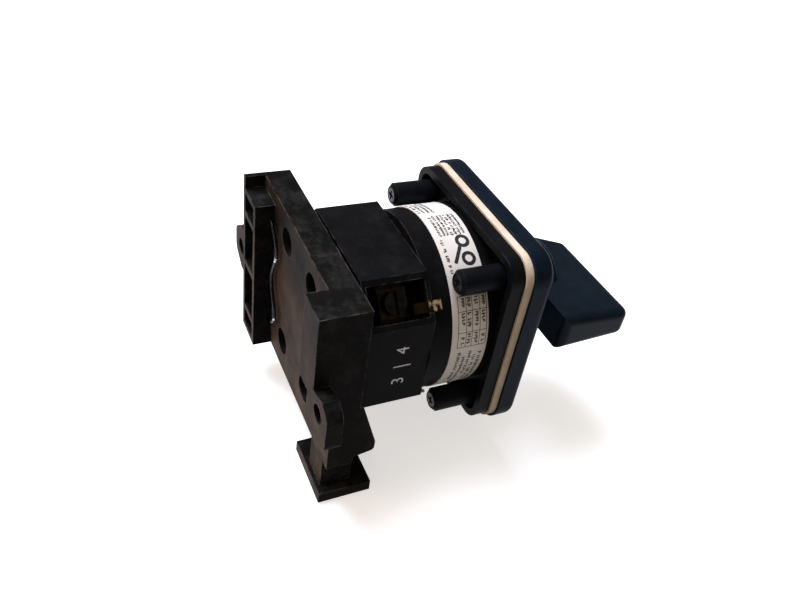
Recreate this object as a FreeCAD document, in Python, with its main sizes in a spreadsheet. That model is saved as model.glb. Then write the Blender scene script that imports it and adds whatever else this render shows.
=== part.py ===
import FreeCAD, Part
import math
import os
import re

# Rotary cam switch: square front plate with gasket and lever handle, round latch housing,
# two-pole contact block and a moulded base with two screw ears.
# Every piece is drawn in its own frame: x to the near side, y up, z along the switch axis
# from the handle to the base. One placement turns that frame into the part's own frame,
# where the handle faces -Y, the near side is -X and up is +Z.
# The origin lies on the axis, in the rear mounting plane between the two screw ears.

doc = FreeCAD.newDocument("rotary_cam_switch")
sheet = doc.addObject("Spreadsheet::Sheet", "sizes")
AXIS_TURN = FreeCAD.Rotation(FreeCAD.Vector(0, 1, 1), 180)
NODES = []

# Driving sizes in millimetres and degrees
SIZES = {
    # Front plate, gasket and rear frame
    "plate_border": 7.0,
    "plate_thick": 5.2,
    "plate_corner": 6.4,
    "plate_edge": 1.8,
    "gasket_inset": 0.7,
    "gasket_thick": 1.8,
    "gasket_corner": 5.7,
    "frame_inset": 1.2,
    "frame_depth": 3.4,
    "frame_wall": 1.7,
    "frame_web": 1.2,
    "frame_corner": 5.2,
    # Posts and their screws
    "post_pitch": 36.0,
    "post_radius": 2.9,
    "post_length": 13.5,
    "post_chamfer": 0.8,
    "post_clear": 0.65,
    "screw_radius": 1.4,
    "screw_clear": 0.2,
    "screw_grip": 3.2,
    "pan_radius": 1.8,
    "pan_height": 1.1,
    "drive_width": 0.7,
    "drive_depth": 0.6,
    # Latch housing and its label
    "housing_end": 18.9,
    "housing_wall": 2.3,
    "housing_floor": 2.2,
    "label_start": 4.7,
    "label_length": 9.1,
    "label_thick": 0.2,
    "label_gap": 4.0,
    "latch_share": 0.73,
    "latch_screw_radius": 1.2,
    "latch_screw_length": 6.0,
    "latch_head_radius": 2.2,
    "latch_head_height": 0.7,
    # Shaft, journals and detent
    "shaft_side": 6.0,
    "shaft_front": 17.0,
    "journal_radius": 5.0,
    "running_fit": 0.05,
    "slip_fit": 0.1,
    "detent_room": 10.2,
    "star_depth": 2.0,
    "star_start": 5.6,
    "star_thick": 7.0,
    "star_points": 4.0,
    "roller_radius": 1.8,
    "roller_gap": 0.3,
    "carrier_width": 8.0,
    "carrier_height": 4.6,
    "spring_radius": 2.5,
    "spring_wire": 0.6,
    "spring_seat": 1.6,
    # Contact block
    "block_length": 15.4,
    "block_half_width": 21.5,
    "block_half_height": 19.4,
    "side_flat": 11.0,
    "top_flat": 14.0,
    "block_floor": 1.6,
    "chamber_start": 4.4,
    "chamber_radius": 9.2,
    "rotor_radius": 5.0,
    "contact_width": 6.0,
    "tie_share_side": 0.388,
    "tie_share_up": 0.685,
    "tie_radius": 1.5,
    "tie_head": 2.7,
    "tie_head_height": 2.0,
    "tie_grip": 8.0,
    "boss_wall": 1.5,
    # Cam and contacts
    "cam_high": 8.0,
    "cam_low": 6.0,
    "cam_dwell": 12.0,
    "quarter_turn": 90.0,
    "cam_gap": 0.3,
    "tip_radius": 1.6,
    "plunger_width": 4.8,
    "plunger_length": 9.2,
    "bridge_place": 6.2,
    "bridge_thick": 1.2,
    "bridge_half": 7.2,
    "bar_thick": 1.2,
    "bar_start": 3.8,
    "closed_gap": 0.1,
    "pocket_play": 0.3,
    # Terminals
    "terminal_depth": 5.0,
    "terminal_length": 8.4,
    "terminal_width": 13.4,
    "clamp_side": 6.6,
    "clamp_thick": 1.2,
    "clamp_lift": 0.6,
    "tongue_depth": 0.3,
    "tongue_thick": 0.8,
    "tongue_width": 2.4,
    "tongue_place": 2.0,
    "tongue_reach": 2.2,
    "terminal_screw": 1.5,
    "terminal_head": 2.6,
    "terminal_head_height": 1.8,
    # End cover and base
    "cover_thick": 2.0,
    "cover_inset": 1.6,
    "cover_floor": 0.6,
    "base_thick": 6.4,
    "base_half_width": 26.2,
    "base_half_height": 22.0,
    "base_drop": 23.4,
    "base_corner": 0.8,
    "near_step": 0.2,
    "near_step_place": 6.8,
    "pad_height": 4.8,
    "rail_half": 17.7,
    "far_pad_top": 19.0,
    "far_wall": 1.4,
    "far_rib": 1.4,
    "far_pocket_depth": 7.0,
    "far_end_pocket": 4.8,
    "near_pad_low": 0.4,
    "ear_place": 29.5,
    "ear_half": 6.2,
    "ear_reach": 5.2,
    "ear_thick": 3.6,
    "ear_drop": 1.2,
    "ear_round": 2.6,
    "ear_hole": 2.2,
    "bolt_well": 3.4,
    "lug_thick": 3.2,
    "lug_reach": 4.9,
    "lug_lip": 0.8,
    "lug_top": 5.2,
    "lug_bottom": 21.2,
    "lug_nose": 3.6,
    "lug_round": 1.2,
    # Rail spring in the far pad
    "rail_wire": 0.8,
    "rail_spring_half": 15.0,
    "rail_spring_reach": 5.0,
    "rail_spring_lift": 1.1,
    # Foot below the base
    "foot_start": 9.5,
    "foot_neck_start": 16.0,
    "foot_neck_end": 23.6,
    "foot_neck_front": 1.0,
    "foot_drop": 8.8,
    "foot_slab": 3.1,
    "foot_slab_front": 5.4,
    "foot_slab_rear": 1.1,
    # Handle
    "hub_radius": 9.8,
    "hub_length": 16.0,
    "hub_round": 0.6,
    "handle_gap": 0.3,
    "stem_radius": 7.0,
    "stem_fit": 0.3,
    "stem_length": 4.4,
    "seal_radius": 0.8,
    "seal_fit": 0.1,
    "seal_place": 2.0,
    "blade_rear_thick": 9.8,
    "blade_front_thick": 7.8,
    "blade_rear": 9.2,
    "blade_front": 28.6,
    "blade_near": 23.0,
    "blade_far": 5.6,
    "blade_heel": 17.0,
    "blade_edge": 2.2,
    "handle_screw_well": 2.5,
    "handle_screw_depth": 6.0,
    "handle_head": 2.2,
}
# Sizes that follow from the driving ones
FOLLOWING = {
    "plate_side": "post_pitch + 2 * plate_border",
    "gasket_side": "plate_side - 2 * gasket_inset",
    "frame_side": "plate_side - 2 * frame_inset",
    "housing_radius": "post_pitch * sqrt(0.5) - post_radius - post_clear",
    "latch_screw_place": "housing_radius * latch_share",
    "frame_bore": "latch_screw_place - latch_head_radius - post_clear",
    "gasket_bore": "frame_bore - slip_fit",
    "star_tip": "housing_radius - housing_wall - detent_room",
    "star_valley": "star_tip - star_depth",
    "tie_place_side": "housing_radius * tie_share_side",
    "tie_place_up": "housing_radius * tie_share_up",
    "far_pad_middle": "(far_pad_top - base_drop) / 2",
    "far_pad_half": "(far_pad_top + base_drop) / 2",
}
NAMES = list(SIZES) + list(FOLLOWING)
ENTRIES = [str(value) for value in SIZES.values()] + ["=" + text for text in FOLLOWING.values()]
for row, (alias, entry) in enumerate(zip(NAMES, ENTRIES), start=1):
    sheet.set("A%d" % row, alias.replace("_", " "))
    sheet.set("B%d" % row, entry)
    sheet.setAlias("B%d" % row, alias)
doc.recompute()


def link(text):
    """Write a formula in size names as an expression on the sheet"""
    return re.sub(r"[a-z_]+", lambda m: "sizes." + m.group(0) if m.group(0) in NAMES else m.group(0), text)


def num(text):
    """Value of a formula in size names"""
    return float(sheet.evalExpression(link(text)))


def bind(thing, path, text):
    """Tie a property to a formula in size names"""
    thing.setExpression(path, link(text))


# Levels along the axis, as formulas
PANEL_FRONT = "0"
PLATE_REAR = "-gasket_thick"
PLATE_FRONT = "-(gasket_thick + plate_thick)"
BLOCK_REAR = "(housing_end + block_length)"
COVER_REAR = "(housing_end + block_length + cover_thick)"
BASE_REAR = "(housing_end + block_length + cover_thick + base_thick)"
PAD_REAR = "(housing_end + block_length + cover_thick + base_thick + pad_height)"
CAM_MIDDLE = "(housing_end + block_length/2)"
HANDLE_REAR = "-(gasket_thick + plate_thick + handle_gap)"


# Small builders
def new_body(name):
    """A body to be drawn in its own frame"""
    body = doc.addObject("PartDesign::Body", name)
    return body


def new_sketch(body, name, level, role="XY_Plane"):
    """A sketch on one of the body's own planes, at a level along its normal"""
    sketch = body.newObject("Sketcher::SketchObject", name)
    plane = [feature for feature in body.Origin.OriginFeatures if feature.Role == role][0]
    sketch.AttachmentSupport = (plane, [""])
    sketch.MapMode = "FlatFace"
    bind(sketch, "AttachmentOffset.Base.z", level)
    return sketch


def pin_point(sketch, index, position, x, y):
    """Tie one point of a sketch to two formulas"""
    for kind, text in (("DistanceX", x), ("DistanceY", y)):
        row = sketch.addConstraint(Sketcher.Constraint(kind, index, position, num(text)))
        bind(sketch, "Constraints[%d]" % row, text)


def draw_outline(sketch, points):
    """A closed outline of straight lines, each corner tied to formulas"""
    spots = [FreeCAD.Vector(num(x), num(y), 0) for x, y in points]
    first = sketch.GeometryCount
    for here, there in zip(spots, spots[1:] + spots[:1]):
        sketch.addGeometry(Part.LineSegment(here, there), False)
    count = len(points)
    for step in range(count):
        after = first + (step + 1) % count
        sketch.addConstraint(Sketcher.Constraint("Coincident", first + step, 2, after, 1))
    for step, (x, y) in enumerate(points):
        pin_point(sketch, first + step, 1, x, y)


def draw_circle(sketch, radius, x="0", y="0"):
    """A circle with its centre and radius tied to formulas"""
    centre = FreeCAD.Vector(num(x), num(y), 0)
    circle = Part.Circle(centre, FreeCAD.Vector(0, 0, 1), num(radius))
    index = sketch.addGeometry(circle, False)
    pin_point(sketch, index, 3, x, y)
    row = sketch.addConstraint(Sketcher.Constraint("Radius", index, num(radius)))
    bind(sketch, "Constraints[%d]" % row, radius)


def block_outline(x_low, x_high, y_low, y_high):
    """The four corners of a rectangle"""
    return [(x_low, y_low), (x_high, y_low), (x_high, y_high), (x_low, y_high)]


def square_outline(half):
    """The four corners of a square about the axis"""
    low = "-(%s)" % half
    return block_outline(low, half, low, half)


def pad(body, name, level, length, draw, role="XY_Plane", middle=False):
    """Add material from a level, along the sketch's normal"""
    sketch = new_sketch(body, name + "_sketch", level, role)
    draw(sketch)
    feature = body.newObject("PartDesign::Pad", name)
    feature.Profile = sketch
    bind(feature, "Length", length)
    feature.Midplane = middle
    return feature


def pocket(body, name, level, depth, draw):
    """Cut back from a level, against the sketch's normal"""
    sketch = new_sketch(body, name + "_sketch", level)
    draw(sketch)
    feature = body.newObject("PartDesign::Pocket", name)
    feature.Profile = sketch
    bind(feature, "Length", depth)
    return feature


def outline(points):
    """A drawing of one outline"""
    return lambda sketch: draw_outline(sketch, points)


def circles(radius, places=(("0", "0"),)):
    """A drawing of equal circles"""
    def draw(sketch):
        for x, y in places:
            draw_circle(sketch, radius, x, y)
    return draw


def four_places(x, y):
    """The same place in the four quarters"""
    return [(sx + x, sy + y) for sx in ("", "-") for sy in ("", "-")]


def dress_edges(body, name, kind, size, wanted, prop):
    """Fillet or chamfer the edges that a test picks"""
    doc.recompute()
    base = body.Tip
    picked = []
    for number, edge in enumerate(base.Shape.Edges, start=1):
        if wanted(edge):
            picked.append("Edge%d" % number)
    feature = body.newObject("PartDesign::" + kind, name)
    feature.Base = (base, picked)
    bind(feature, prop, size)
    return feature


def is_upright(edge):
    """A straight edge along the switch axis"""
    if edge.Curve.TypeId != "Part::GeomLine":
        return False
    return abs(abs(edge.Curve.Direction.z) - 1) < 1e-6


def corner_test(half, low, high):
    """Picks the four upright edges at the corners of a square, between two levels"""
    reach = num(half)
    middle = (num(low) + num(high)) / 2

    def test(edge):
        centre = edge.CenterOfMass
        at_corner = abs(abs(centre.x) - reach) < 0.01 and abs(abs(centre.y) - reach) < 0.01
        return is_upright(edge) and at_corner and abs(centre.z - middle) < 0.01
    return test


def finish(thing, name):
    """Name the piece and set it in the part's frame"""
    thing.Label = name
    thing.Placement = FreeCAD.Placement(FreeCAD.Vector(0, 0, 0), AXIS_TURN)
    bind(thing, "Placement.Base.y", "-" + PAD_REAR)
    NODES.append((name, thing))
    return thing


def solid_feature(name, shape):
    """A piece whose shape is worked out from the sheet"""
    feature = doc.addObject("Part::Feature", name)
    feature.Shape = shape
    return finish(feature, name)


def prism(points, low, high):
    """A straight prism along the axis over an outline of numbers"""
    corners = [FreeCAD.Vector(x, y, low) for x, y in points]
    face = Part.Face(Part.makePolygon(corners + corners[:1]))
    return face.extrude(FreeCAD.Vector(0, 0, high - low))


def rod(radius, start, direction, length):
    """A round bar from a point along a direction"""
    return Part.makeCylinder(radius, length, start, direction)


import Sketcher

POSTS = four_places("post_pitch/2", "post_pitch/2")
TIES = four_places("tie_place_side", "tie_place_up")


# Front plate: a square moulded plate with soft front edges, a bore for the handle's stem
# with a seal groove behind it, and blind holes for the four screws
def make_front_plate():
    body = new_body("front_plate_body")
    pad(body, "plate_slab", PLATE_FRONT, "plate_thick", outline(square_outline("plate_side/2")))
    dress_edges(body, "plate_corners", "Fillet", "plate_corner",
                corner_test("plate_side/2", PLATE_FRONT, PLATE_REAR), "Radius")
    front = num(PLATE_FRONT)
    dress_edges(body, "plate_front_edge", "Fillet", "plate_edge",
                lambda edge: abs(edge.BoundBox.ZMax - front) < 1e-6, "Radius")
    pocket(body, "stem_bore", PLATE_REAR, "plate_thick", circles("stem_radius + stem_fit"))
    sketch = new_sketch(body, "seal_groove_sketch", "0", "XZ_Plane")
    start = "(" + PLATE_FRONT + " + seal_place)"
    draw_outline(sketch, block_outline("stem_radius", "stem_radius + seal_fit + 2*seal_radius",
                                       start, start + " + 2*seal_radius"))
    groove = body.newObject("PartDesign::Groove", "seal_groove")
    groove.Profile = sketch
    groove.ReferenceAxis = (sketch, ["V_Axis"])
    groove.Angle = 360
    pocket(body, "screw_holes", PLATE_REAR, "screw_grip", circles("screw_radius", POSTS))
    finish(body, "front_plate")


# Gasket: a flat square sheet with a bore and four screw holes
def make_gasket():
    body = new_body("gasket_body")
    pad(body, "sheet", PLATE_REAR, "gasket_thick", outline(square_outline("gasket_side/2")))
    dress_edges(body, "sheet_corners", "Fillet", "gasket_corner",
                corner_test("gasket_side/2", PLATE_REAR, PANEL_FRONT), "Radius")
    pocket(body, "sheet_bore", PANEL_FRONT, "gasket_thick", circles("gasket_bore"))
    pocket(body, "sheet_holes", PANEL_FRONT, "gasket_thick",
           circles("screw_radius + screw_clear", POSTS))
    finish(body, "gasket")


# Rear frame: a shallow square tray, open to the rear, with four hollow posts
def make_rear_frame():
    body = new_body("rear_frame_body")
    pad(body, "tray", PANEL_FRONT, "frame_depth", outline(square_outline("frame_side/2")))
    dress_edges(body, "tray_corners", "Fillet", "frame_corner",
                corner_test("frame_side/2", PANEL_FRONT, "frame_depth"), "Radius")
    hollow = "frame_side/2 - frame_wall"
    pocket(body, "tray_hollow", "frame_depth", "frame_depth - frame_web",
           outline(square_outline(hollow)))
    dress_edges(body, "hollow_corners", "Fillet", "frame_corner - frame_wall",
                corner_test(hollow, "frame_web", "frame_depth"), "Radius")
    pad(body, "posts", PANEL_FRONT, "post_length", circles("post_radius", POSTS))
    end = num("post_length")
    dress_edges(body, "post_ends", "Chamfer", "post_chamfer",
                lambda edge: abs(edge.BoundBox.ZMin - end) < 1e-6, "Size")
    pocket(body, "frame_opening", "frame_web", "frame_web",
           circles("frame_bore"))
    spots = [("latch_screw_place", "0"), ("-latch_screw_place", "0")]
    pocket(body, "latch_screw_holes", "frame_web", "frame_web",
           circles("latch_screw_radius + slip_fit", spots))
    pocket(body, "latch_head_wells", "latch_head_height", "latch_head_height",
           circles("latch_head_radius + slip_fit", spots))
    pocket(body, "post_recesses", "post_length", "pan_height", circles("pan_radius + slip_fit", POSTS))
    pocket(body, "post_bores", "post_length - pan_height", "post_length - pan_height",
           circles("screw_radius + screw_clear", POSTS))
    finish(body, "rear_frame")


# Pan head screw along the axis, head at the rear
def make_frame_screws():
    for number, (x, y) in enumerate(POSTS, start=1):
        body = new_body("frame_screw_body_%d" % number)
        pad(body, "shank_%d" % number, PLATE_REAR + " - screw_grip",
            "post_length - pan_height + gasket_thick + screw_grip", circles("screw_radius", [(x, y)]))
        pad(body, "head_%d" % number, "post_length - pan_height", "pan_height",
            circles("pan_radius", [(x, y)]))
        end = num("post_length")
        dress_edges(body, "head_edge_%d" % number, "Chamfer", "slip_fit",
                    lambda edge: abs(edge.BoundBox.ZMin - end) < 1e-6, "Size")
        slot = block_outline("%s - drive_width/2" % x, "%s + drive_width/2" % x,
                             "%s - 2*pan_radius/3" % y, "%s + 2*pan_radius/3" % y)
        cross = block_outline("%s - 2*pan_radius/3" % x, "%s + 2*pan_radius/3" % x,
                              "%s - drive_width/2" % y, "%s + drive_width/2" % y)
        pocket(body, "slot_%d" % number, "post_length", "drive_depth", outline(slot))
        pocket(body, "cross_%d" % number, "post_length", "drive_depth", outline(cross))
        finish(body, "frame_screw_%d" % number)


# Latch housing: a round cup, open to the rear, with four bosses for the tie bolts and
# two guides that hold the detent carriers
def make_latch_housing():
    body = new_body("latch_housing_body")
    pad(body, "cup", "frame_web", "housing_end - frame_web", circles("housing_radius"))
    pocket(body, "cup_hollow", "housing_end", "housing_end - frame_web - housing_floor",
           circles("housing_radius - housing_wall"))
    pocket(body, "cup_bore", "frame_web + housing_floor", "housing_floor",
           circles("journal_radius + running_fit"))
    floor = "frame_web + housing_floor"
    pad(body, "bosses", floor, "housing_end - frame_web - housing_floor",
        circles("tie_radius + boss_wall", TIES))
    rib_in = "carrier_width/2 + slip_fit"
    rib_out = "tie_place_side"
    for number, (sx, sy) in enumerate((("", ""), ("-", ""), ("", "-"), ("-", "-")), start=1):
        rib = block_outline(sx + "(" + rib_in + ")", sx + rib_out, sy + "(star_tip + roller_gap + 0.6)",
                            sy + "(tie_place_up + tie_radius + boss_wall)")
        pad(body, "guide_%d" % number, floor, "star_start + star_thick - frame_web - housing_floor",
            outline(rib))
    pocket(body, "boss_bores", "housing_end", "tie_grip", circles("tie_radius", TIES))
    screws = [("latch_screw_place", "0"), ("-latch_screw_place", "0")]
    pad(body, "screw_bosses", floor, "latch_screw_length - housing_floor",
        circles("latch_screw_radius + boss_wall", screws))
    pocket(body, "screw_bores", "frame_web + latch_screw_length - 0.8",
           "latch_screw_length - 0.8", circles("latch_screw_radius", screws))
    finish(body, "latch_housing")


# Label: a thin strip round the latch housing, with a gap on the far side
def make_label():
    inner = num("housing_radius")
    outer = num("housing_radius + label_thick")
    start = num("label_start")
    length = num("label_length")
    gap = num("label_gap") / 2
    begin = FreeCAD.Vector(0, 0, start)
    along = FreeCAD.Vector(0, 0, 1)
    ring = rod(outer, begin, along, length).cut(rod(inner, begin, along, length))
    opening = prism([(-outer - 1, -gap), (-inner + 1, -gap), (-inner + 1, gap), (-outer - 1, gap)],
                    start, start + length)
    solid_feature("label_sleeve", ring.cut(opening).Solids[0])


# Flat head screws through the frame's web into the latch housing
def make_latch_screws():
    for number, sign in enumerate((1, -1), start=1):
        spot = FreeCAD.Vector(sign * num("latch_screw_place"), 0, 0)
        along = FreeCAD.Vector(0, 0, 1)
        web = num("frame_web")
        radius = num("latch_screw_radius")
        shank = rod(radius, spot, along, web + num("latch_screw_length") - 0.8)
        head = rod(num("latch_head_radius"), spot, along, num("latch_head_height"))
        solid_feature("latch_screw_%d" % number, shank.fuse(head))


# Seal: a rubber ring round the handle's stem, in the groove of the front plate
def make_seal():
    body = new_body("stem_seal_body")
    sketch = new_sketch(body, "seal_sketch", "0", "XZ_Plane")
    draw_circle(sketch, "seal_radius", "stem_radius + seal_fit + seal_radius",
                PLATE_FRONT + " + seal_place + seal_radius")
    ring = body.newObject("PartDesign::Revolution", "seal_ring")
    ring.Profile = sketch
    ring.ReferenceAxis = (sketch, ["V_Axis"])
    ring.Angle = 360
    finish(body, "stem_seal")


# Square shaft from the handle to the end cover
def make_shaft():
    body = new_body("shaft_body")
    pad(body, "bar", "-shaft_front", BLOCK_REAR + " + cover_thick - cover_floor + shaft_front - slip_fit",
        outline(square_outline("shaft_side/2")))
    bar_end = num("-shaft_front")
    pocket(body, "tap", "-shaft_front + 10", "10", circles("screw_radius"))
    dress_edges(body, "bar_edges", "Chamfer", "shaft_side/15",
                lambda edge: is_upright(edge) and edge.BoundBox.ZMin < bar_end + 0.01, "Size")
    finish(body, "shaft")


# Detent wheel with rounded points, on a round journal
def make_star_wheel():
    points = int(num("star_points"))
    tip = num("star_tip")
    valley = num("star_valley")
    low = num("star_start")
    high = num("star_start + star_thick")
    along = FreeCAD.Vector(0, 0, 1)
    roller = num("roller_radius")
    wheel = Part.makeCylinder(tip, high - low, FreeCAD.Vector(0, 0, low), along)
    reach = valley + 1.9 * roller
    for step in range(points):
        turn = math.radians(90 + step * 360 / points)
        spot = FreeCAD.Vector(reach * math.cos(turn), reach * math.sin(turn), low)
        wheel = wheel.cut(Part.makeCylinder(1.9 * roller, high - low, spot, along))
    journal = num("journal_radius")
    start = num("frame_web")
    neck = Part.makeCylinder(journal, low - start, FreeCAD.Vector(0, 0, start), along)
    rear = Part.makeCylinder(journal, num("housing_end + block_floor") - high,
                             FreeCAD.Vector(0, 0, high), along)
    half = num("shaft_side/2 + slip_fit")
    bore = prism([(-half, -half), (half, -half), (half, half), (-half, half)],
                 start, num("housing_end + block_floor"))
    wheel = wheel.fuse([neck, rear]).cut(bore).removeSplitter()
    solid_feature("star_wheel", wheel.Solids[0])


# Detent carriers, rollers and springs above and below the wheel
def make_detents():
    along = FreeCAD.Vector(0, 0, 1)
    low = num("star_start + slip_fit")
    high = num("star_start + star_thick - slip_fit")
    roller = num("roller_radius")
    axis_at = num("star_tip + roller_gap + roller_radius")
    half = num("carrier_width/2")
    top = axis_at + num("carrier_height")
    wall = num("housing_radius - housing_wall")
    outer = num("spring_radius")
    inner = outer - num("spring_wire")
    seat = num("spring_seat")
    spring_end = math.sqrt(wall ** 2 - outer ** 2) - num("slip_fit")
    middle = (low + high) / 2
    for name, sign in (("top", 1), ("bottom", -1)):
        side = FreeCAD.Vector(0, sign, 0)
        carrier = prism([(-half, sign * axis_at), (half, sign * axis_at),
                         (half, sign * top), (-half, sign * top)], low, high)
        carrier = carrier.cut(rod(roller + num("running_fit"), FreeCAD.Vector(0, sign * axis_at, low),
                                  along, high - low))
        well = rod(outer + num("slip_fit"), FreeCAD.Vector(0, sign * (top - seat), middle), side, seat)
        solid_feature("detent_carrier_" + name, carrier.cut(well))
        solid_feature("detent_roller_" + name,
                      rod(roller, FreeCAD.Vector(0, sign * axis_at, low), along, high - low))
        foot = FreeCAD.Vector(0, sign * (top - seat), middle)
        spring = rod(outer, foot, side, spring_end - top + seat)
        spring = spring.cut(rod(inner, foot, side, spring_end - top + seat))
        solid_feature("detent_spring_" + name, spring)


# The contact block's outline: flat top, bottom and sides with the corners cut off
def block_corners(inset):
    wide = "(block_half_width - %s)" % inset
    tall = "(block_half_height - %s)" % inset
    return [(wide, "-side_flat"), (wide, "side_flat"), ("top_flat", tall), ("-top_flat", tall),
            ("-" + wide, "side_flat"), ("-" + wide, "-side_flat"), ("-top_flat", "-" + tall),
            ("top_flat", "-" + tall)]


# Numbers of the cut corner, where the terminals sit
def corner_frame():
    """Middle of the corner's face, its outward normal and the direction along it"""
    wide = num("block_half_width")
    tall = num("block_half_height")
    side = num("side_flat")
    top = num("top_flat")
    along = FreeCAD.Vector(top - wide, tall - side, 0)
    along.normalize()
    normal = FreeCAD.Vector(along.y, -along.x, 0)
    middle = FreeCAD.Vector((wide + top) / 2, (tall + side) / 2, num(CAM_MIDDLE))
    return middle, normal, along


QUARTERS = ((1, 1), (1, -1), (-1, 1), (-1, -1))


def to_quarter(shape, quarter):
    """Mirror a shape of the first quarter into another"""
    origin = FreeCAD.Vector(0, 0, 0)
    if quarter[0] < 0:
        shape = shape.mirror(origin, FreeCAD.Vector(1, 0, 0))
    if quarter[1] < 0:
        shape = shape.mirror(origin, FreeCAD.Vector(0, 1, 0))
    return shape


def slanted_box(middle, normal, along, depth_from, depth_to, length, width):
    """A box in the corner's own frame: depths below its face, length along it, width on the axis"""
    corners = []
    for reach, depth in ((-1, depth_from), (1, depth_from), (1, depth_to), (-1, depth_to)):
        spot = middle + along * (reach * length / 2) - normal * depth
        corners.append((spot.x, spot.y))
    return prism(corners, middle.z - width / 2, middle.z + width / 2)


# Contact block: an eight-sided moulding with a chamber for the cam, a channel to each side
# for the plungers, pockets for the contacts and a terminal well in each cut corner
def make_contact_block():
    body = new_body("block_body")
    pad(body, "block", "housing_end", "block_length", outline(block_corners("0")))
    depth = "block_length - chamber_start"
    pocket(body, "cam_chamber", BLOCK_REAR, depth, circles("chamber_radius"))
    pocket(body, "rotor_bore", "housing_end + chamber_start", "chamber_start",
           circles("journal_radius + running_fit"))
    play = "pocket_play"
    plunger = "(plunger_width/2 + slip_fit)"
    end = "(cam_high + cam_gap + plunger_length + spring_seat)"
    channel = block_outline("-" + end, end, "-" + plunger, plunger)
    pocket(body, "plunger_channel", BLOCK_REAR, depth, outline(channel))
    bar = "(cam_high + cam_gap + bridge_place - cam_high + cam_low - closed_gap - bar_thick)"
    out = "(cam_high + cam_gap + bridge_place + bridge_thick + pocket_play)"
    for number, sign in enumerate(("", "-"), start=1):
        room = block_outline(sign + "(" + bar + " - slip_fit)", sign + out,
                             "-(bridge_half + %s)" % play, "bridge_half + %s" % play)
        pocket(body, "bridge_room_%d" % number, BLOCK_REAR, depth, outline(room))
    pocket(body, "tie_bores", BLOCK_REAR, "block_length", circles("tie_radius + screw_clear", TIES))
    doc.recompute()
    middle, normal, along = corner_frame()
    cutters = []
    well_depth = num("terminal_depth + bar_thick")
    for quarter in QUARTERS:
        well = slanted_box(middle, normal, along, -1, well_depth, num("terminal_length"),
                           num("terminal_width"))
        tap = rod(num("terminal_screw"), middle - normal * (well_depth + 1.6), normal, 1.6)
        slot = contact_strip(num("slip_fit"))
        notch = tongue_strip(num("slip_fit"))
        cutters.append(to_quarter(well.fuse([tap, slot, notch]), quarter))
    tool = doc.addObject("Part::Feature", "terminal_wells")
    tool.Shape = Part.makeCompound(cutters)
    cut = doc.addObject("Part::Cut", "contact_block_cut")
    cut.Base = body
    cut.Tool = tool
    finish(cut, "contact_block")


def contact_strip(play):
    """The bent strip of a fixed contact in the first quarter, with play all round"""
    middle, normal, along = corner_frame()
    inner = num("cam_low + cam_gap + bridge_place - closed_gap - bar_thick") - play
    outer = num("cam_low + cam_gap + bridge_place - closed_gap") + play
    floor = middle - normal * (num("terminal_depth") - play)
    under = middle - normal * (num("terminal_depth + bar_thick") + play)
    start = num("bar_start") - play
    tab_end = num("terminal_length") / 2 - num("slip_fit") + play

    def on_line(point, x):
        return point.y + (x - point.x) * along.y / along.x
    low_tab = floor - along * tab_end
    low_under = under - along * tab_end
    points = [(inner, start), (outer, start), (outer, on_line(under, outer)),
              (low_under.x, low_under.y), (low_tab.x, low_tab.y), (inner, on_line(floor, inner))]
    half = num("contact_width") / 2 + play
    return prism(points, middle.z - half, middle.z + half)


def tongue_strip(play):
    """The clamp's tongue in the first quarter: it leaves the well through the block's front wall"""
    middle, normal, along = corner_frame()
    rear = middle.z - num("clamp_side") / 2
    front = num("housing_end") - num("tongue_reach")
    spot = middle - along * num("tongue_place")
    spot.z = (rear + front) / 2
    top = num("tongue_depth")
    return slanted_box(spot, normal, along, top - 5 * play, top + num("tongue_thick") + play,
                       num("tongue_width") + 2 * play, rear - front)


# Fixed contacts, clamps and terminal screws, one of each in every quarter
def make_terminals():
    middle, normal, along = corner_frame()
    for number, quarter in enumerate(QUARTERS, start=1):
        depth = num("terminal_depth")
        clearance = num("screw_clear")
        screw = num("terminal_screw")
        tab_hole = rod(screw + clearance, middle - normal * (depth + 3), normal, 3.5)
        strip = contact_strip(0).cut(tab_hole)
        solid_feature("fixed_contact_%d" % number, to_quarter(strip, quarter))
        lift = depth - num("clamp_lift")
        side = num("clamp_side")
        thick = num("clamp_thick")
        plate = slanted_box(middle, normal, along, lift - thick, lift, side, side)
        plate = plate.cut(rod(screw + clearance, middle - normal * depth, normal, depth))
        leg_spot = middle - along * num("tongue_place")
        leg_spot.z = middle.z - (side + num("tongue_thick")) / 2
        leg = slanted_box(leg_spot, normal, along, num("tongue_depth"), lift, num("tongue_width"),
                          num("tongue_thick"))
        plate = plate.fuse([leg, tongue_strip(0)]).removeSplitter()
        solid_feature("terminal_clamp_%d" % number, to_quarter(plate, quarter))
        well_depth = depth + num("bar_thick") + 1.6
        head_at = lift - thick
        head = num("terminal_head_height")
        shank = rod(screw, middle - normal * well_depth, normal, well_depth - head_at)
        cap = rod(num("terminal_head"), middle - normal * head_at, normal, head)
        slot_half = num("drive_width") / 2
        slot = slanted_box(middle, normal, along, head_at - head - 0.1,
                           head_at - head + num("drive_depth"), 4 * num("terminal_head"), 2 * slot_half)
        body = shank.fuse(cap).cut(slot)
        solid_feature("terminal_screw_%d" % number, to_quarter(body, quarter))


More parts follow.
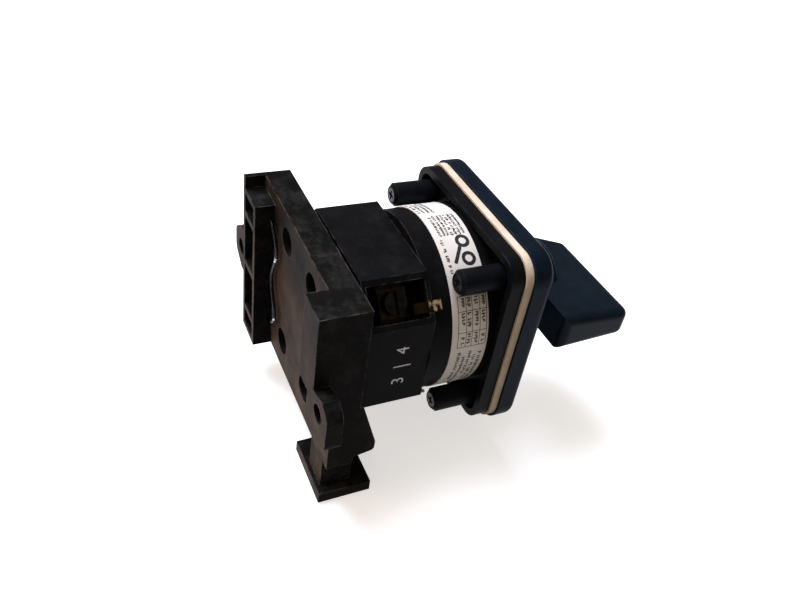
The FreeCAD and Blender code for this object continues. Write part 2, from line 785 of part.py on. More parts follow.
# Cam: a disc whose edge falls evenly over the quarter turn, the same on both sides
def make_cam():
    high = num("cam_high")
    low = num("cam_low")
    dwell = num("cam_dwell")
    travel = num("quarter_turn")
    half_turn = 180.0
    rise = half_turn - travel - 2 * dwell

    def radius_at(angle):
        """Edge radius at an angle past the near plunger, in the direction of the ramp"""
        if angle < dwell:
            return high
        if angle < dwell + travel:
            return high - (high - low) * (angle - dwell) / travel
        if angle < 2 * dwell + travel:
            return low
        return low + (high - low) * (angle - 2 * dwell - travel) / rise

    level = num(CAM_MIDDLE) - num("contact_width") / 2
    top = num(CAM_MIDDLE) + num("contact_width") / 2
    step = 6.0
    edges = []
    stretches = (0, dwell, dwell + travel, 2 * dwell + travel, half_turn)
    for side in (0, half_turn):
        for begin, end in zip(stretches, stretches[1:]):
            count = max(2, int(round((end - begin) / step)))
            spots = []
            for index in range(count + 1):
                angle = begin + (end - begin) * index / count
                nudge = angle if index < count else angle - 1e-9
                reach = radius_at(nudge)
                turn = math.radians(dwell - angle + side)
                spots.append(FreeCAD.Vector(reach * math.cos(turn), reach * math.sin(turn), level))
            if len(edges) > 0:
                spots[0] = edges[-1].Vertexes[-1].Point
            if side == half_turn and begin == stretches[-2]:
                spots[-1] = edges[0].Vertexes[0].Point
            curve = Part.BSplineCurve()
            curve.interpolate(spots)
            edges.append(curve.toShape())
    face = Part.Face(Part.Wire(edges))
    disc = face.extrude(FreeCAD.Vector(0, 0, top - level))
    radius = num("rotor_radius")
    along = FreeCAD.Vector(0, 0, 1)
    start = num("housing_end + block_floor + slip_fit")
    end = num(BLOCK_REAR + " + cover_thick - cover_floor - slip_fit")
    core = Part.makeCylinder(radius, end - start, FreeCAD.Vector(0, 0, start), along)
    half = num("shaft_side/2 + slip_fit")
    bore = prism([(-half, -half), (half, -half), (half, half), (-half, half)], start, end)
    cam = disc.fuse(core).cut(bore).removeSplitter()
    solid_feature("cam", cam.Solids[0])


# Plungers with their contact bridges and springs, one set to each side
def make_plungers():
    level = num(CAM_MIDDLE)
    half_height = num("contact_width") / 2 - num("slip_fit")
    half = num("plunger_width") / 2
    start = num("cam_high + cam_gap")
    end = start + num("plunger_length")
    round_tip = num("tip_radius")
    bridge = start + num("bridge_place")
    thick = num("bridge_thick")
    reach = num("bridge_half")
    seat = num("spring_seat")
    outer = half - num("spring_wire")
    for name, sign in (("near", 1), ("far", -1)):
        side = FreeCAD.Vector(sign, 0, 0)
        axis = FreeCAD.Vector(0, 0, 1)
        block = prism([(sign * (start + round_tip), -half), (sign * end, -half),
                       (sign * end, half), (sign * (start + round_tip), half)],
                      level - half_height, level + half_height)
        tip = rod(round_tip, FreeCAD.Vector(sign * (start + round_tip), 0, level - half_height),
                  axis, 2 * half_height)
        window = prism([(sign * bridge, -half), (sign * (bridge + thick), -half),
                        (sign * (bridge + thick), half), (sign * bridge, half)],
                       level - half_height / 1.5, level + half_height / 1.5)
        well = rod(outer, FreeCAD.Vector(sign * (end - seat), 0, level), side, seat)
        plunger = block.fuse(tip).cut([window, well])
        solid_feature("plunger_" + name, plunger.Solids[0])
        bar = prism([(sign * bridge, -reach), (sign * (bridge + thick), -reach),
                     (sign * (bridge + thick), reach), (sign * bridge, reach)],
                    level - half_height / 1.5, level + half_height / 1.5)
        solid_feature("bridge_" + name, bar)
        foot = FreeCAD.Vector(sign * (end - seat), 0, level)
        coil = rod(outer - num("slip_fit"), foot, side, 2 * seat)
        coil = coil.cut(rod(outer - num("spring_wire + slip_fit"), foot, side, 2 * seat))
        solid_feature("contact_spring_" + name, coil)


# End cover: closes the contact block and carries the rear end of the cam
def make_end_cover():
    body = new_body("end_cover_body")
    pad(body, "cover", BLOCK_REAR, "cover_thick", outline(block_corners("cover_inset")))
    pocket(body, "cover_bore", BLOCK_REAR + " + cover_thick - cover_floor",
           "cover_thick - cover_floor", circles("rotor_radius + running_fit"))
    pocket(body, "cover_holes", COVER_REAR, "cover_thick", circles("tie_radius + screw_clear", TIES))
    finish(body, "end_cover")


# Base: a thick plate with a far and a near pad, two ears with screw holes, bolt wells,
# ribbed pockets in the far pad and a lug on the near side
def make_base():
    body = new_body("base_body")
    wide = "base_half_width"
    tall = "base_half_height"
    step = "(base_half_height - near_step)"
    shape = [("-" + wide, "-base_drop"), (wide, "-base_drop"), (wide, step),
             ("near_step_place + near_step", step), ("near_step_place", tall), ("-" + wide, tall)]
    pad(body, "base_slab", COVER_REAR, "base_thick", outline(shape))
    far_out = "-(base_half_width + far_wall)"
    pad(body, "far_rim", COVER_REAR, "base_thick + pad_height",
        outline(block_outline(far_out, "-" + wide, "-base_drop", tall)))
    pad(body, "far_pad", BASE_REAR, "pad_height",
        outline(block_outline("-" + wide, "-rail_half", "-base_drop", "far_pad_top")))
    pad(body, "near_pad", BASE_REAR, "pad_height",
        outline(block_outline("rail_half", wide, "near_pad_low", step)))
    ear_low = PAD_REAR + " - ear_thick"
    far_face = "(base_half_width + far_wall)"
    near_ear = [("base_half_width - lug_thick", "-(ear_half + ear_drop)"),
                ("ear_place + ear_reach", "-(ear_half + ear_drop/2)"),
                ("ear_place + ear_reach", "ear_half/2"),
                ("ear_place + ear_reach/3", "ear_half - ear_drop"),
                (wide, "ear_half/2 + ear_drop/2"),
                ("base_half_width - lug_thick", "ear_half/2 + ear_drop/2")]
    pad(body, "near_ear", ear_low, "ear_thick", outline(near_ear))
    far_ear = [("-" + far_face, "-ear_half"), ("-ear_place", "-ear_half"),
               ("-(ear_place + ear_reach)", "-ear_half/2"), ("-(ear_place + ear_reach)", "ear_half/2"),
               ("-ear_place", "ear_half"), ("-" + far_face, "ear_half")]
    pad(body, "far_ear", ear_low, "ear_thick", outline(far_ear))
    outer_side = num("ear_place + ear_reach")

    def ear_corner(edge):
        return is_upright(edge) and abs(abs(edge.CenterOfMass.x) - outer_side) < 0.01
    dress_edges(body, "ear_rounds", "Fillet", "ear_round", ear_corner, "Radius")
    pocket(body, "ear_holes", PAD_REAR, "ear_thick",
           circles("ear_hole", [("ear_place", "0"), ("-ear_place", "0")]))
    far_in = "-(rail_half + far_rib)"
    end_high = "(far_pad_half - far_rib)"
    end_low = "(far_pad_half - far_rib - far_end_pocket)"
    inner_high = "(far_pad_half - 2*far_rib - far_end_pocket)"
    ribs = [("top", end_high, end_low), ("upper", inner_high, "far_rib/2"),
            ("lower", "-far_rib/2", "-" + inner_high), ("bottom", "-" + end_low, "-" + end_high)]
    for name, high, low in ribs:
        pocket(body, "far_pocket_" + name, PAD_REAR, "far_pocket_depth",
               outline(block_outline("-" + wide, far_in, "far_pad_middle + " + low,
                                     "far_pad_middle + " + high)))
    pocket(body, "bolt_wells", BASE_REAR, "base_thick - cover_thick", circles("bolt_well", TIES))
    pocket(body, "bolt_holes", COVER_REAR + " + cover_thick", "cover_thick",
           circles("tie_radius + screw_clear", TIES))
    lug_root = COVER_REAR + " + lug_lip"
    lug_tip = COVER_REAR + " - lug_reach"
    lug = [("-lug_bottom", lug_root), ("-lug_bottom", COVER_REAR + " - lug_lip"),
           ("-lug_bottom + lug_lip", lug_tip), ("-lug_bottom + lug_nose", lug_tip),
           ("-lug_top", COVER_REAR + " - lug_lip"), ("-lug_top", lug_root)]
    pad(body, "near_lug", "base_half_width - lug_thick", "lug_thick", outline(lug), "YZ_Plane")
    nose_level = num(lug_tip)

    def lug_nose(edge):
        box = edge.BoundBox
        across = abs(box.XLength - num("lug_thick")) < 0.01
        return across and abs(box.ZMin - nose_level) < 0.01 and abs(box.ZMax - nose_level) < 0.01
    dress_edges(body, "lug_edges", "Fillet", "lug_round", lug_nose, "Radius")
    finish(body, "base")


# Tie bolts through base, cover and block into the latch housing
def make_tie_bolts():
    for number, (x, y) in enumerate(TIES, start=1):
        body = new_body("tie_bolt_body_%d" % number)
        pad(body, "tie_shank_%d" % number, "housing_end - tie_grip",
            BLOCK_REAR + " + 2*cover_thick - housing_end + tie_grip", circles("tie_radius", [(x, y)]))
        pad(body, "tie_head_%d" % number, COVER_REAR + " + cover_thick", "tie_head_height",
            circles("tie_head", [(x, y)]))
        slot = block_outline("%s - drive_width/2" % x, "%s + drive_width/2" % x,
                             "%s - tie_head" % y, "%s + tie_head" % y)
        pocket(body, "tie_slot_%d" % number, COVER_REAR + " + cover_thick + tie_head_height",
               "drive_depth", outline(slot))
        finish(body, "tie_bolt_%d" % number)


# Rail spring: a wire along the far pad's wall with two bows that press on the rail
def make_rail_spring():
    level = num(BASE_REAR) + num("rail_spring_lift")
    wall = -num("rail_half") + num("rail_wire") / 2
    span = num("rail_spring_half")
    reach = num("rail_spring_reach")
    bends = [(-1.0, 0.0), (-0.55, 1.0), (0.0, 0.35), (0.55, 1.0), (1.0, 0.0)]
    spots = [FreeCAD.Vector(wall + out * reach, place * span, level) for place, out in bends]
    curve = Part.BSplineCurve()
    curve.interpolate(spots)
    path = Part.Wire(curve.toShape())
    start = path.Edges[0]
    tangent = start.tangentAt(start.FirstParameter)
    section = Part.Wire(Part.makeCircle(num("rail_wire") / 2, spots[0], tangent))
    spring = path.makePipeShell([section], True, False)
    solid_feature("rail_spring", spring)


# Foot: a neck under the near half of the base, ending in a wider slab
def make_foot():
    body = new_body("foot_body")
    under = "-base_drop"
    drop = "-(base_drop + foot_drop)"
    bottom = "-(base_drop + foot_drop + foot_slab)"
    neck_low = COVER_REAR + " - foot_neck_front"
    pad(body, "neck", neck_low, "base_thick + foot_neck_front",
        outline(block_outline("foot_neck_start", "foot_neck_end", drop, under)))
    slab_low = COVER_REAR + " - foot_slab_front"
    pad(body, "slab", slab_low, "base_thick + foot_slab_front + foot_slab_rear",
        outline(block_outline("foot_start", "base_half_width", bottom, drop)))
    finish(body, "foot")


# Handle: a round hub on a stem, with a lever blade that reaches to the near side
def make_handle():
    body = new_body("handle_body")
    front = "-(gasket_thick + plate_thick)"
    pad(body, "stem", HANDLE_REAR, "handle_gap + stem_length", circles("stem_radius"))
    pad(body, "hub", front + " - hub_length", "hub_length - handle_gap", circles("hub_radius"))
    hub_front = num(front + " - hub_length")
    dress_edges(body, "hub_edge", "Fillet", "hub_round",
                lambda edge: abs(edge.BoundBox.ZMax - hub_front) < 1e-6, "Radius")
    rear = "(gasket_thick + plate_thick + blade_rear)"
    tip = "(gasket_thick + plate_thick + blade_front)"
    low = new_sketch(body, "blade_rear_sketch", "-" + rear)
    draw_outline(low, block_outline("-blade_heel", "blade_near", "-blade_rear_thick/2",
                                    "blade_rear_thick/2"))
    high = new_sketch(body, "blade_front_sketch", "-" + tip)
    draw_outline(high, block_outline("-blade_far", "blade_near", "-blade_front_thick/2",
                                     "blade_front_thick/2"))
    blade = body.newObject("PartDesign::AdditiveLoft", "blade")
    blade.Profile = low
    blade.Sections = [high]
    blade.Ruled = True
    edge_level = -num(tip)
    reach = num("blade_near")

    def blade_rim(edge):
        at_tip = abs(edge.BoundBox.ZMax - edge_level) < 1e-6
        at_near_end = abs(edge.BoundBox.XMin - reach) < 0.01
        return at_tip or at_near_end
    dress_edges(body, "blade_edges", "Fillet", "blade_edge", blade_rim, "Radius")
    pocket(body, "shaft_socket", HANDLE_REAR + " + handle_gap + stem_length",
           "shaft_front - gasket_thick - plate_thick + stem_length + slip_fit",
           outline(square_outline("shaft_side/2 + slip_fit")))
    pocket(body, "screw_well", "-(%s - handle_screw_depth)" % tip, "handle_screw_depth",
           circles("handle_screw_well"))
    pocket(body, "screw_way", "-shaft_front + 0.5", "%s - shaft_front + 0.5" % tip,
           circles("screw_radius + screw_clear"))
    finish(body, "handle")


# Screw that holds the handle on the shaft
def make_handle_screw():
    body = new_body("handle_screw_body")
    tip = "(gasket_thick + plate_thick + blade_front)"
    seat = "-(%s - handle_screw_depth)" % tip
    pad(body, "handle_shank", seat, "%s - handle_screw_depth - shaft_front + 8" % tip,
        circles("screw_radius"))
    pad(body, "handle_head", seat + " - pan_height - 0.8", "pan_height + 0.8", circles("handle_head"))
    finish(body, "handle_screw")


make_front_plate()
make_gasket()
make_rear_frame()
make_frame_screws()
make_latch_housing()
make_label()
make_latch_screws()
make_seal()
make_shaft()
make_star_wheel()
make_detents()
make_contact_block()
make_terminals()
make_cam()
make_plungers()
make_end_cover()
make_base()
make_tie_bolts()
make_rail_spring()
make_foot()
make_handle()
make_handle_screw()
doc.recompute()

for thing in doc.Objects:
    if "Invalid" in thing.State or "Error" in thing.State:
        raise RuntimeError("failed: %s %s" % (thing.Name, thing.State))
for name, thing in NODES:
    if thing.Shape.isNull() or not thing.Shape.isValid():
        raise RuntimeError("bad shape: " + name)

os.makedirs("parts", exist_ok=True)
for name, thing in NODES:
    thing.Shape.exportStep("parts/%s.step" % name)
print(len(NODES), "pieces")
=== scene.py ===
import math

import bmesh
import bpy
from mathutils import Matrix, Vector


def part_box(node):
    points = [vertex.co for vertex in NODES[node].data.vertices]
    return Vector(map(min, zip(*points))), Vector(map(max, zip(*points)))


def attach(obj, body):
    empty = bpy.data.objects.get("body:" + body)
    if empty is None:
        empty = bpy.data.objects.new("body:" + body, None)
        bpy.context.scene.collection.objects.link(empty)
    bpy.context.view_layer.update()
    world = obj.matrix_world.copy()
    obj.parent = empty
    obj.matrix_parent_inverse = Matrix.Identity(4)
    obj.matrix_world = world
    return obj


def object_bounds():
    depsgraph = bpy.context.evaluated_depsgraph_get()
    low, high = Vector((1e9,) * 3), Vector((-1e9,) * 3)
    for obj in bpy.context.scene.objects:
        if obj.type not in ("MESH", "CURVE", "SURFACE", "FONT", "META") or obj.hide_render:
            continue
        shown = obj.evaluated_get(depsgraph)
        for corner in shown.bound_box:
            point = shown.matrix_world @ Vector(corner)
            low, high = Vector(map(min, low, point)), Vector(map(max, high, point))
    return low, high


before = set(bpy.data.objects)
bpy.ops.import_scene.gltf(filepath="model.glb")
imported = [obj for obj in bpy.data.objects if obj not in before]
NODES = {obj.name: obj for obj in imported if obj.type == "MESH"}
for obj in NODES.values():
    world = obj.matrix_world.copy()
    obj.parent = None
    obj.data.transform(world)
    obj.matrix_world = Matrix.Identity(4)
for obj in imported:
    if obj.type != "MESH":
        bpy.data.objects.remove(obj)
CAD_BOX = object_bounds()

# Rotary cam switch with its surfaces and print, in a plain studio. Names that end in _mm are
# in millimetres, other lengths in metres. The switch axis runs along Y, the near side is -X.
MM = 0.001

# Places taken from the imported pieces
FLOOR_LEVEL = CAD_BOX[0][2]
SIDE_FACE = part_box("contact_block")[1][0]
BLOCK_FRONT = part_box("contact_block")[0][1]
INK_STAND = 0.02 * MM
PRINT_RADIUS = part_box("label_sleeve")[1][2] + INK_STAND
LABEL_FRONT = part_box("label_sleeve")[0][1]

# Moulded edges are painted a little lighter this far in, as edge wear and a painted highlight
EDGE_REACH_MM = 0.35

# Sockets of a colour mix, by number
MIX_FACTOR = 0
MIX_FIRST = 6
MIX_SECOND = 7
MIX_RESULT = 2


# Colours and nodes

def linear(hex_text):
    """sRGB hex colour to linear RGBA"""
    values = [int(hex_text[i:i + 2], 16) / 255 for i in (1, 3, 5)]
    return [v / 12.92 if v <= 0.04045 else ((v + 0.055) / 1.055) ** 2.4 for v in values] + [1.0]


def add_node(tree, kind, settings=None, links=None, stops=()):
    """A node with its settings by property, socket name or socket number, its links from other
    nodes or sockets, and the stops of a colour ramp; colours are hex text"""
    node = tree.nodes.new(kind)
    for key, value in (settings or {}).items():
        if isinstance(value, str) and value.startswith("#"):
            value = linear(value)
        if isinstance(key, str) and hasattr(node, key):
            setattr(node, key, value)
        else:
            node.inputs[key].default_value = value
    for key, source in (links or {}).items():
        tree.links.new(source.outputs[0] if hasattr(source, "outputs") else source, node.inputs[key])
    if stops:
        elements = node.color_ramp.elements
        while len(elements) < len(stops):
            elements.new(0.5)
        for element, (share, colour) in zip(elements, stops):
            element.position = share
            element.color = linear(colour)
    return node


def start_material(name):
    """An empty node material with its tree, its shader and its surface coordinates"""
    material = bpy.data.materials.new(name)
    material.use_nodes = True
    tree = material.node_tree
    shader = tree.nodes["Principled BSDF"]
    place = add_node(tree, "ShaderNodeTexCoord").outputs["Object"]
    return material, tree, shader, place


def lumps(size_mm, detail=3.0, rough=0.55):
    """Settings of a noise whose lumps are about the given size"""
    return {"Scale": 1 / (size_mm * MM), "Detail": detail, "Roughness": rough}


def relief(strength, depth_mm):
    """Settings of a small relief of the given depth"""
    return {"Strength": strength, "Distance": depth_mm * MM}


def edge_mask(tree):
    """White along the sharp edges of a piece, black on its faces"""
    rounded = add_node(tree, "ShaderNodeBevel", {"samples": 6, "Radius": EDGE_REACH_MM * MM})
    true = add_node(tree, "ShaderNodeNewGeometry")
    match = add_node(tree, "ShaderNodeVectorMath", {"operation": "DOT_PRODUCT"},
                     {0: rounded, 1: true.outputs["Normal"]})
    return add_node(tree, "ShaderNodeMapRange",
                    {"From Min": 0.86, "From Max": 0.985, "To Min": 1.0, "To Max": 0.0},
                    {"Value": match.outputs["Value"]})


def share_along(tree, vector, axis, low, high, least=0.0):
    """How far one part of a vector is from low to high: the least at low, 1 at high"""
    parts = add_node(tree, "ShaderNodeSeparateXYZ", None, {"Vector": vector})
    return add_node(tree, "ShaderNodeMapRange", {"From Min": low, "From Max": high, "To Min": least},
                    {"Value": parts.outputs[axis]})


# Materials

def painted_rear_light(tree, place):
    """Painted warm light on the rear-facing faces, in broad patches, stronger toward the foot"""
    facing = add_node(tree, "ShaderNodeTexCoord").outputs["Normal"]
    rear = share_along(tree, facing, 1, 0.5, 0.95)
    low_end = share_along(tree, place, 2, 16 * MM, -18 * MM, 0.3)
    broad = add_node(tree, "ShaderNodeTexNoise", lumps(12.0, 6.0, 0.6), {"Vector": place})
    patches = add_node(tree, "ShaderNodeValToRGB", None, {"Fac": broad},
                       [(0.32, "#303030"), (0.68, "#FFFFFF")])
    reach = add_node(tree, "ShaderNodeMath", {"operation": "MULTIPLY"}, {0: rear, 1: low_end})
    return add_node(tree, "ShaderNodeMath", {"operation": "MULTIPLY"}, {0: reach, 1: patches})


def moulded_plastic(name, tones, dust, dust_cover, edge, roughness, gloss, grain_mm=0.05, rear_light_colour=None):
    """Glass-filled polyamide or polycarbonate, injection moulded: near-black with faint flow
    marks, a fine spark-eroded grain, dust in patches, edges lighter in patches as wear and a
    painted highlight and, where a colour for it is given, a painted warm light on the rear-facing faces"""
    material, tree, shader, place = start_material(name)
    flow = add_node(tree, "ShaderNodeTexNoise", lumps(9.0, 4.0), {"Vector": place})
    bare = add_node(tree, "ShaderNodeValToRGB", None, {"Fac": flow},
                    [(0.25, tones[0]), (0.75, tones[1])])
    settled = add_node(tree, "ShaderNodeTexNoise", lumps(4.0, 6.0, 0.68), {"Vector": place})
    patches = add_node(tree, "ShaderNodeValToRGB", None, {"Fac": settled},
                       [(0.46, "#000000"), (0.74, "#FFFFFF")])
    cover = add_node(tree, "ShaderNodeMath", {"operation": "MULTIPLY", 1: dust_cover}, {0: patches})
    surface = add_node(tree, "ShaderNodeMix", {"data_type": "RGBA", MIX_SECOND: dust},
                       {MIX_FACTOR: cover, MIX_FIRST: bare}).outputs[MIX_RESULT]
    # Painted warm light on the rear-facing faces, in patches
    if rear_light_colour:
        surface = add_node(tree, "ShaderNodeMix", {"data_type": "RGBA", MIX_SECOND: rear_light_colour},
                           {MIX_FACTOR: painted_rear_light(tree, place), MIX_FIRST: surface}).outputs[MIX_RESULT]
    # Edges lighter in patches: partly wear, partly a painted highlight
    handled = add_node(tree, "ShaderNodeTexNoise", lumps(3.0, 4.0, 0.6), {"Vector": place})
    wear_and_highlight_patches = add_node(tree, "ShaderNodeValToRGB", None, {"Fac": handled},
                    [(0.42, "#0A0A0A"), (0.66, "#D0D0D0")])
    wear_and_highlight = add_node(tree, "ShaderNodeMath", {"operation": "MULTIPLY"}, {0: edge_mask(tree), 1: wear_and_highlight_patches})
    surface = add_node(tree, "ShaderNodeMix", {"data_type": "RGBA", MIX_SECOND: edge},
                       {MIX_FACTOR: wear_and_highlight, MIX_FIRST: surface}).outputs[MIX_RESULT]
    tree.links.new(surface, shader.inputs["Base Color"])
    cloudy = add_node(tree, "ShaderNodeTexNoise", lumps(2.0, 4.0), {"Vector": place})
    sheen = add_node(tree, "ShaderNodeMapRange", {"To Min": roughness[0], "To Max": roughness[1]},
                     {"Value": cloudy})
    tree.links.new(sheen.outputs["Result"], shader.inputs["Roughness"])
    shader.inputs["IOR"].default_value = 1.52
    shader.inputs["Specular IOR Level"].default_value = gloss
    fine = add_node(tree, "ShaderNodeTexNoise", lumps(0.28, 2.0), {"Vector": place})
    grain = add_node(tree, "ShaderNodeBump", relief(0.35, grain_mm), {"Height": fine})
    tree.links.new(grain.outputs["Normal"], shader.inputs["Normal"])
    return material


def closed_foam():
    """Gasket of closed-cell foam rubber, die cut: cream, matt, with fine cells on its cut edge and
    a few grey smudges from handling"""
    material, tree, shader, place = start_material("gasket_foam")
    cells = add_node(tree, "ShaderNodeTexVoronoi", {"Scale": 1 / (0.35 * MM)}, {"Vector": place})
    mottle = add_node(tree, "ShaderNodeTexNoise", lumps(5.0), {"Vector": place})
    tone = add_node(tree, "ShaderNodeValToRGB", None, {"Fac": mottle},
                    [(0.3, "#D9C3A8"), (0.7, "#EBD8C0")])
    handled = add_node(tree, "ShaderNodeTexNoise", lumps(2.2, 5.0, 0.7), {"Vector": place})
    smudge = add_node(tree, "ShaderNodeValToRGB", None, {"Fac": handled},
                      [(0.55, "#000000"), (0.8, "#FFFFFF")])
    cover = add_node(tree, "ShaderNodeMath", {"operation": "MULTIPLY", 1: 0.35}, {0: smudge})
    surface = add_node(tree, "ShaderNodeMix", {"data_type": "RGBA", MIX_SECOND: "#9C8A74"},
                       {MIX_FACTOR: cover, MIX_FIRST: tone})
    tree.links.new(surface.outputs[MIX_RESULT], shader.inputs["Base Color"])
    shader.inputs["Roughness"].default_value = 0.88
    shader.inputs["Specular IOR Level"].default_value = 0.3
    pores = add_node(tree, "ShaderNodeBump", relief(0.5, 0.08), {"Height": cells})
    tree.links.new(pores.outputs["Normal"], shader.inputs["Normal"])
    return material


def label_film():
    """White polyester label film: smooth, satin, a little uneven where it lies over the housing"""
    material, tree, shader, place = start_material("label_film")
    mottle = add_node(tree, "ShaderNodeTexNoise", lumps(12.0, 2.0), {"Vector": place})
    tone = add_node(tree, "ShaderNodeValToRGB", None, {"Fac": mottle},
                    [(0.3, "#E4DACD"), (0.7, "#EEE5DA")])
    tree.links.new(tone.outputs["Color"], shader.inputs["Base Color"])
    shader.inputs["Roughness"].default_value = 0.48
    swell = add_node(tree, "ShaderNodeTexNoise", lumps(4.0, 2.0), {"Vector": place})
    wave = add_node(tree, "ShaderNodeBump", relief(0.15, 0.05), {"Height": swell})
    tree.links.new(wave.outputs["Normal"], shader.inputs["Normal"])
    return material


def plain_coat(name, spots, stops, roughness):
    """A thin even surface, such as ink, rubber or natural nylon, whose tone varies in small spots"""
    material, tree, shader, place = start_material(name)
    spotted = add_node(tree, "ShaderNodeTexNoise", spots, {"Vector": place})
    tone = add_node(tree, "ShaderNodeValToRGB", None, {"Fac": spotted}, stops)
    tree.links.new(tone.outputs["Color"], shader.inputs["Base Color"])
    shader.inputs["Roughness"].default_value = roughness
    return material


def highlight_band(tree, place, axis, low_mm, high_mm, spots):
    """White on the given shares of the way along an axis: the places of a painted highlight on a metal"""
    fade = 0.03
    stops = []
    for start, end in spots:
        stops += [(start - fade, "#000000"), (start, "#FFFFFF"), (end, "#FFFFFF"), (end + fade, "#000000")]
    along = share_along(tree, place, axis, low_mm * MM, high_mm * MM)
    return add_node(tree, "ShaderNodeValToRGB", None, {"Fac": along}, stops)


def tumbled_metal(name, tones, roughness, wear_and_highlight=None, bright="#FFFFFF"):
    """A small metal piece, turned or bent from strip and tumbled: fine marks and dull patches,
    and on some pieces a painted highlight, a bright band along one axis broken into patches"""
    material, tree, shader, place = start_material(name)
    shader.inputs["Metallic"].default_value = 1.0
    stained = add_node(tree, "ShaderNodeTexNoise", lumps(1.2, 4.0), {"Vector": place})
    tone = add_node(tree, "ShaderNodeValToRGB", None, {"Fac": stained},
                    [(0.3, tones[0]), (0.7, tones[1])]).outputs["Color"]
    # Painted highlight: a bright band along one axis, broken into patches
    if wear_and_highlight:
        broken = add_node(tree, "ShaderNodeTexNoise", lumps(1.6, 3.0, 0.6), {"Vector": place})
        patchy = add_node(tree, "ShaderNodeValToRGB", None, {"Fac": broken},
                          [(0.49, "#000000"), (0.58, "#FFFFFF")])
        painted_glint = add_node(tree, "ShaderNodeMath", {"operation": "MULTIPLY"},
                          {0: highlight_band(tree, place, *wear_and_highlight), 1: patchy})
        tone = add_node(tree, "ShaderNodeMix", {"data_type": "RGBA", MIX_SECOND: bright},
                        {MIX_FACTOR: painted_glint, MIX_FIRST: tone}).outputs[MIX_RESULT]
    tree.links.new(tone, shader.inputs["Base Color"])
    dull = add_node(tree, "ShaderNodeTexNoise", lumps(0.6), {"Vector": place})
    sheen = add_node(tree, "ShaderNodeMapRange", {"To Min": roughness[0], "To Max": roughness[1]},
                     {"Value": dull})
    tree.links.new(sheen.outputs["Result"], shader.inputs["Roughness"])
    fine = add_node(tree, "ShaderNodeTexNoise", lumps(0.2, 2.0), {"Vector": place})
    marks = add_node(tree, "ShaderNodeBump", relief(0.2, 0.02), {"Height": fine})
    tree.links.new(marks.outputs["Normal"], shader.inputs["Normal"])
    return material


# In each plastic below, the edge colour is edge wear and a painted highlight
# Black polyamide of the contact block and the housing, with brown-grey dust
HOUSING = moulded_plastic("block_polyamide", ("#0B0B0D", "#111011"), "#2A2826", 0.32, "#7A7163",
                          (0.42, 0.58), 0.025)
# The base: more dust, and a painted warm light on its rear-facing faces, stronger toward the bottom
BASE_PLASTIC = moulded_plastic("base_polyamide", ("#0D0C0C", "#141312"), "#3E3B38", 0.50, "#8A7E6E",
                               (0.45, 0.62), 0.016, 0.05, "#66584A")
# Front plate and lever are blue-black, the lever smoother
PLATE_PLASTIC = moulded_plastic("front_polyamide", ("#070F17", "#0B1824"), "#1A2A3A", 0.25, "#44525F",
                                (0.36, 0.50), 0.04)
FRAME_PLASTIC = moulded_plastic("frame_polyamide", ("#090A0C", "#0E1013"), "#1E2023", 0.25, "#464A50",
                                (0.36, 0.50), 0.04)
LEVER = moulded_plastic("lever_polycarbonate", ("#0A131A", "#101B24"), "#1E2B36", 0.25, "#44515C",
                        (0.28, 0.40), 0.045, 0.03)
FOAM = closed_foam()
FILM = label_film()
# Screen-printed black ink: thin and matt, with slightly uneven cover
INK = plain_coat("label_ink", lumps(0.5), [(0.35, "#09090A"), (0.75, "#1C1C20")], 0.6)
# Pad-printed white ink of the terminal numbers: thin and a little worn
NUMBER_INK = plain_coat("number_ink", lumps(0.4, 4.0, 0.7), [(0.3, "#B4B5B6"), (0.55, "#F0F1F2")], 0.55)
# Unfilled nylon of the inner sliding pieces: ivory and waxy
NYLON = plain_coat("natural_nylon", lumps(4.0, 2.0), [(0.3, "#D6D3C6"), (0.7, "#E2DFD3")], 0.45)
# Black nitrile of the stem seal: matt, with a faint bloom
NITRILE = plain_coat("nitrile_rubber", lumps(1.0), [(0.3, "#101010"), (0.7, "#1B1B1C")], 0.7)
ZINC = tumbled_metal("zinc_plated_steel", ("#A9ACB0", "#D3D5D8"), (0.22, 0.42))
BLACK_STEEL = tumbled_metal("blackened_steel", ("#3A3C3F", "#5E6063"), (0.40, 0.58))
# Terminal screws: near-black, painted shade of the terminal wells
DARK_SCREW = tumbled_metal("steel_painted_shade", ("#131313", "#232220"), (0.34, 0.52))
# The rail spring is dark, with two painted highlights: bright bands across it at two heights
SPRING_STEEL = tumbled_metal("blued_spring_steel", ("#151516", "#2A2A2C"), (0.18, 0.34),
                             (2, -15, 15, ((0.09, 0.15), (0.68, 0.76))), "#E4E4E6")
# Brass of the contacts: near-black, painted shade of the terminal wells
BRASS = tumbled_metal("brass_painted_shade", ("#1A140B", "#34291A"), (0.34, 0.5))
# The clamps are near-black as painted shade of the terminal wells; their tongues carry a painted highlight
# in patches at their front ends
TINNED = tumbled_metal("tinned_brass_painted_shade_and_glint", ("#15110B", "#2E271B"), (0.24, 0.42),
                       (1, -31, -21, ((0.03, 0.30),)), "#CDB896")

FINISHES = (
    (("fixed_contact", "bridge"), BRASS),
    (("plunger", "detent_carrier", "cam", "star_wheel"), NYLON),
    (("terminal_screw",), DARK_SCREW),
    (("frame_screw", "tie_bolt"), BLACK_STEEL),
    (("terminal_clamp",), TINNED),
    (("rail_spring",), SPRING_STEEL),
    (("latch_screw", "detent_spring", "detent_roller", "contact_spring", "shaft", "handle_screw"), ZINC),
    (("handle",), LEVER),
    (("gasket",), FOAM),
    (("stem_seal",), NITRILE),
    (("label_sleeve",), FILM),
    (("front_plate",), PLATE_PLASTIC),
    (("rear_frame",), FRAME_PLASTIC),
    (("base", "foot"), BASE_PLASTIC),
)


def finish_for(node):
    """The material of a carried-over CAD node"""
    for starts, material in FINISHES:
        if node.startswith(starts):
            return material
    return HOUSING


